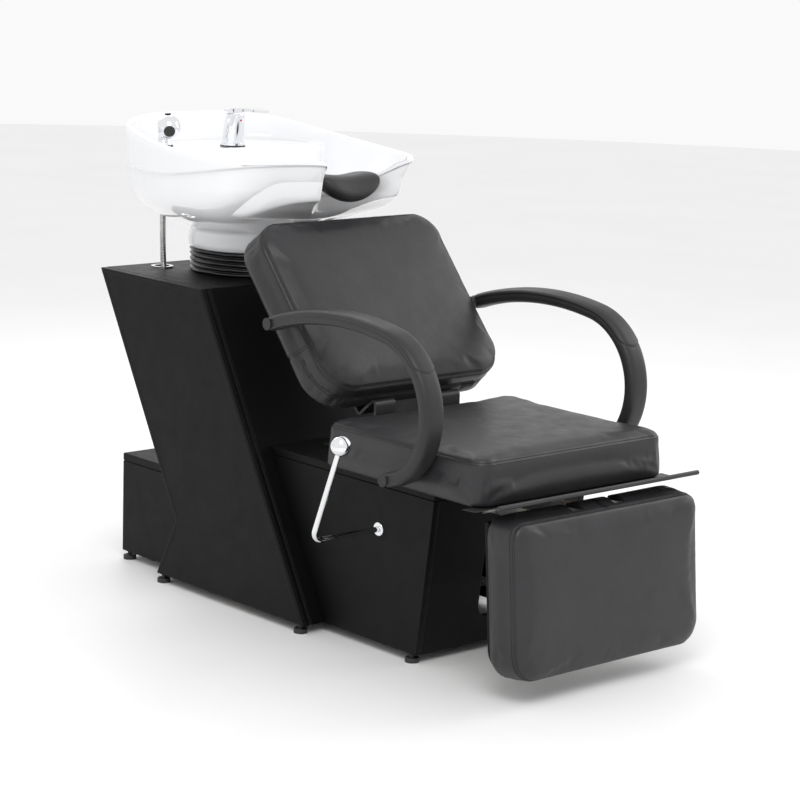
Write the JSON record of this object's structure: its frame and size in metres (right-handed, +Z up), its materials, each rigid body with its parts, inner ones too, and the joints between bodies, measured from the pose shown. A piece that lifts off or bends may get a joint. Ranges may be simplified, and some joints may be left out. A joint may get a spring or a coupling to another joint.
{
  "type": "shampoo backwash unit",
  "caption": "Salon backwash unit: tilting ceramic basin with mixer and hand spray on a Z-shaped cabinet, fixed padded seat with arms, and a lever-raised leg rest.",
  "frame": {"origin": "centre of the lower end of the waste spigot, at floor level under the cabinet", "axes": "+Z up; the sitter faces -Y, so +Y runs from the leg rest to the basin; X = 0 is the plane of symmetry and -X is the sitter's right, the lever's side"},
  "size_m": [0.742, 1.4681, 1.064],
  "materials": {
    "vinyl_panel": "fine-grained black leatherette over board",
    "vinyl": "soft-grained black leatherette",
    "plywood": "raw plywood",
    "moulded_black": "satin moulded polyurethane",
    "foot_plastic": "matte",
    "black_steel": "black powder coat",
    "zinc_steel": "zinc plated",
    "chrome": "polished",
    "brass": "plain",
    "rubber": "satin",
    "ceramic": "gloss white glaze",
    "pipe_plastic": "matte",
    "gloss_black": "gloss",
    "nylon": "plain",
    "pad": "soft gel foam, fine matte skin"
  },
  "bodies": {
    "root": {"pedestal_side_right": "vinyl_panel", "pedestal_side_left": "vinyl_panel", "pedestal_front": "vinyl_panel", "pedestal_top": "vinyl_panel", "pedestal_rear": "vinyl_panel", "base_side_right": "vinyl_panel", "base_side_left": "vinyl_panel", "base_front": "vinyl_panel", "base_top": "vinyl_panel", "rear_box_sides": "vinyl_panel", "rear_box_cover": "vinyl_panel", "levelling_feet": "foot_plastic", "service_rail": "plywood", "seat_board": "plywood", "seat_cushion": "vinyl", "back_cushion": "vinyl", "back_board": "vinyl_panel", "seat_back_brackets": "black_steel", "armrest_right": "moulded_black", "armrest_left": "moulded_black", "arm_bolt_caps": "moulded_black", "gap_flap": "vinyl", "flap_rod": "black_steel", "hinge_arms": "zinc_steel", "lever_bushes": "nylon", "lever_escutcheon": "chrome", "basin_bracket": "zinc_steel", "basin_pivot_pins": "zinc_steel", "bellows": "rubber", "hose_grommet": "chrome", "waste_hose": "pipe_plastic", "waste_spigot": "pipe_plastic", "supply_hoses": "zinc_steel", "supply_nuts": "brass", "spray_hose": "chrome"},
    "legrest": {"legrest_cushion": "vinyl", "legrest_board": "vinyl_panel", "legrest_brackets": "zinc_steel", "legrest_pins": "zinc_steel", "link_clevis": "zinc_steel"},
    "lever": {"lever_rod": "chrome", "ball_knob": "chrome", "crank_fork": "zinc_steel", "crank_pin": "zinc_steel"},
    "push_link": {"push_link": "zinc_steel"},
    "basin": {"basin_bowl": "ceramic", "basin_plate": "zinc_steel", "neck_rest": "pad", "drain_strainer": "chrome", "drain_tailpiece": "brass", "mixer_body": "chrome", "deck_gaskets": "rubber", "basin_locknuts": "brass", "spray_dock": "chrome"},
    "mixer_cap": {"mixer_cap": "chrome"},
    "mixer_lever": {"mixer_lever": "chrome"},
    "handset": {"spray_handset": "chrome", "spray_face": "gloss_black", "spray_hose_upper": "chrome"},
    "spray_button": {"spray_button": "gloss_black"}
  },
  "joints": [
    {"name": "legrest_swing", "type": "hinge", "parent": "root", "child": "legrest", "pos_m": [0, -0.82, 0.322], "axis": [-1, 0, 0], "range_deg": [0, 75]},
    {"name": "lever_swing", "type": "hinge", "parent": "root", "child": "lever", "pos_m": [0, -0.424, 0.261], "axis": [-1, 0, 0], "range_deg": [0, 75]},
    {"name": "link_swing", "type": "hinge", "parent": "lever", "child": "push_link", "pos_m": [0, -0.369, 0.113], "axis": [-1, 0, 0], "range_deg": [-75, 0]},
    {"name": "basin_tilt", "type": "hinge", "parent": "root", "child": "basin", "pos_m": [0, 0.312, 0.718], "axis": [-1, 0, 0], "range_deg": [0, 10], "deforming": ["bellows", "spray_hose", "supply_hoses"]},
    {"name": "mixer_turn", "type": "hinge", "parent": "basin", "child": "mixer_cap", "pos_m": [0, 0.3745, 1.0434], "axis": [0, 0.1219, 0.9925], "range_deg": [-45, 45]},
    {"name": "mixer_lift", "type": "hinge", "parent": "mixer_cap", "child": "mixer_lever", "pos_m": [0, 0.392, 1.051], "axis": [-1, 0, 0], "range_deg": [0, 25]},
    {"name": "handset_lift", "type": "slide", "parent": "basin", "child": "handset", "axis": [0, 0, 1], "range_m": [0, 0.12]},
    {"name": "spray_press", "type": "slide", "parent": "handset", "child": "spray_button", "axis": [0, -0.0995, -0.995], "range_m": [0, 0.002], "stiffness_N_per_m": 600}
  ],
  "couplings": [
    {"joint": "lever_swing", "follows": "legrest_swing", "ratio": 1},
    {"joint": "link_swing", "follows": "legrest_swing", "ratio": -1}
  ]
}
